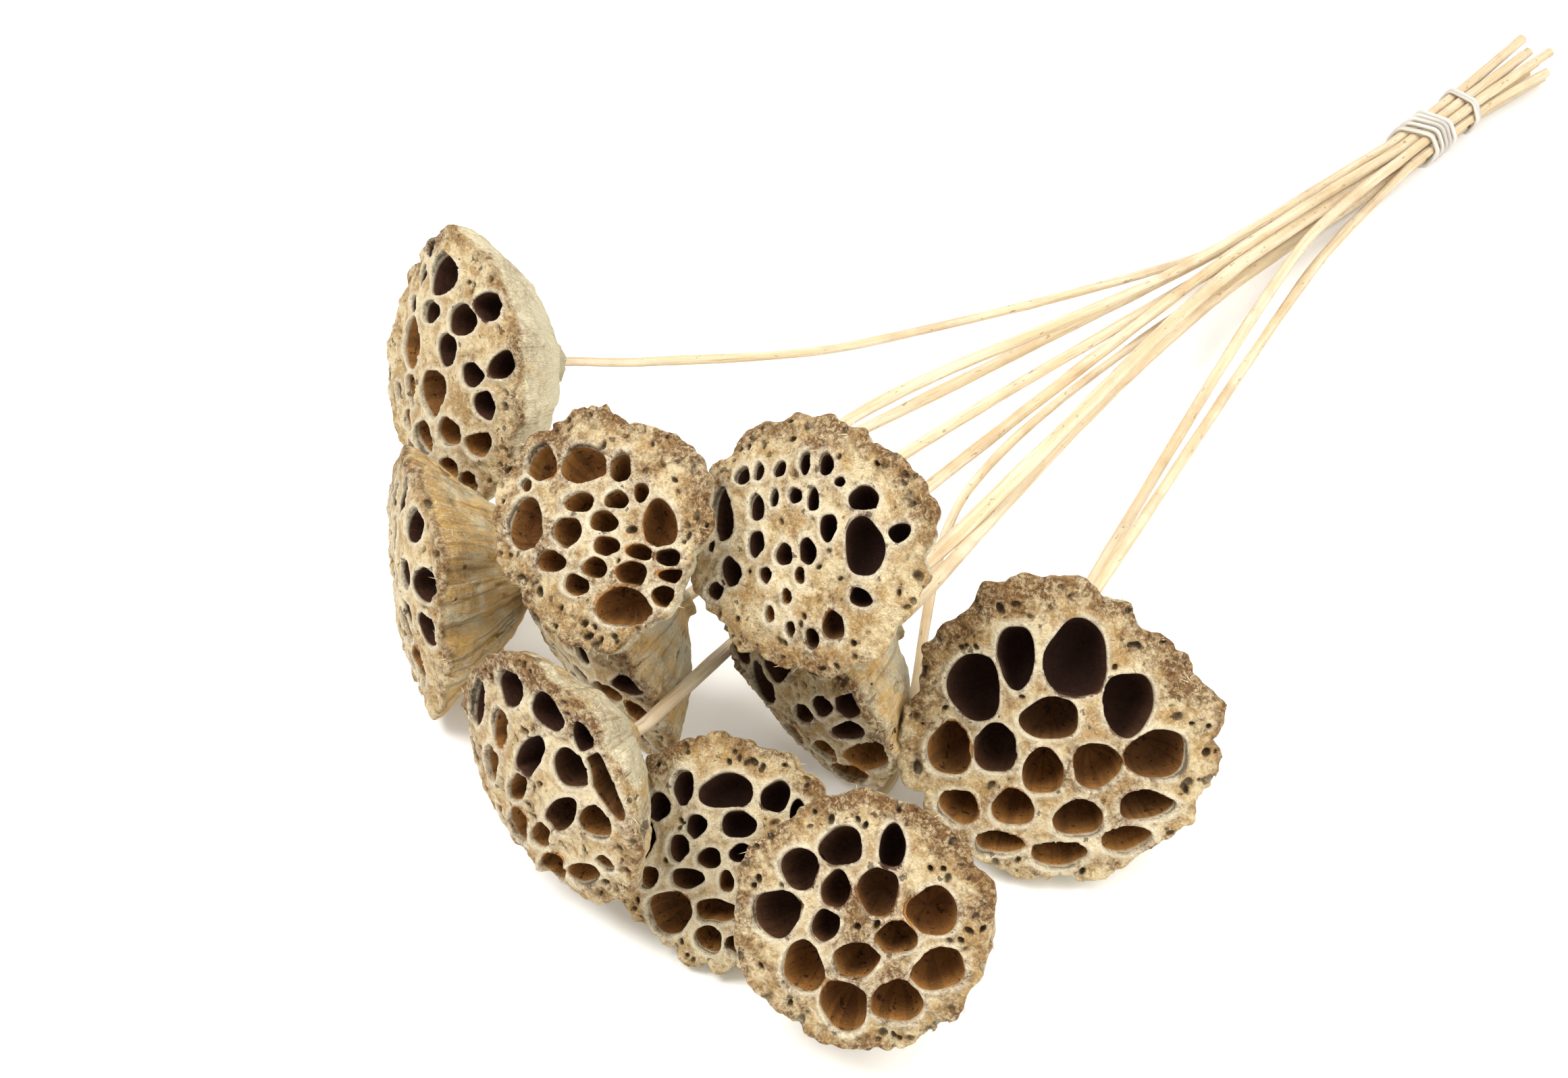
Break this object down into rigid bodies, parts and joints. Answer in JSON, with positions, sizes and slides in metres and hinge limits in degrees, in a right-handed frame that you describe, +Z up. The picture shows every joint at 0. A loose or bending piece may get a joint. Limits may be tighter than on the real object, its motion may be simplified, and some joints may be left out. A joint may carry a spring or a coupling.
{
  "type": "tied bunch of dried lotus pods",
  "caption": "Bunch of dried lotus seed pods, funnel-shaped with open seed cavities in their domed faces, on long straw-coloured stems held by an elastic tie, lying down.",
  "frame": {"origin": "centre of the bunch's footprint, on the surface it lies on", "axes": "+Y from the pods to the cut ends of the stems, +Z up"},
  "size_m": [0.3142, 0.66, 0.1285],
  "materials": {
    "pod": "dried spongy husk, lightly sprayed champagne gold",
    "stem": "matt dry straw with fine grooves",
    "tie": "matt off-white elastic"
  },
  "bodies": {
    "root": {"pod_1": "pod", "pod_2": "pod", "pod_3": "pod", "pod_4": "pod", "pod_5": "pod", "pod_6": "pod", "pod_7": "pod", "pod_8": "pod", "pod_9": "pod", "pod_10": "pod", "stem_1": "stem", "stem_2": "stem", "stem_3": "stem", "stem_4": "stem", "stem_5": "stem", "stem_6": "stem", "stem_7": "stem", "stem_8": "stem", "stem_9": "stem", "stem_10": "stem", "tie_wound": "tie", "tie_single": "tie"}
  },
  "joints": []
}
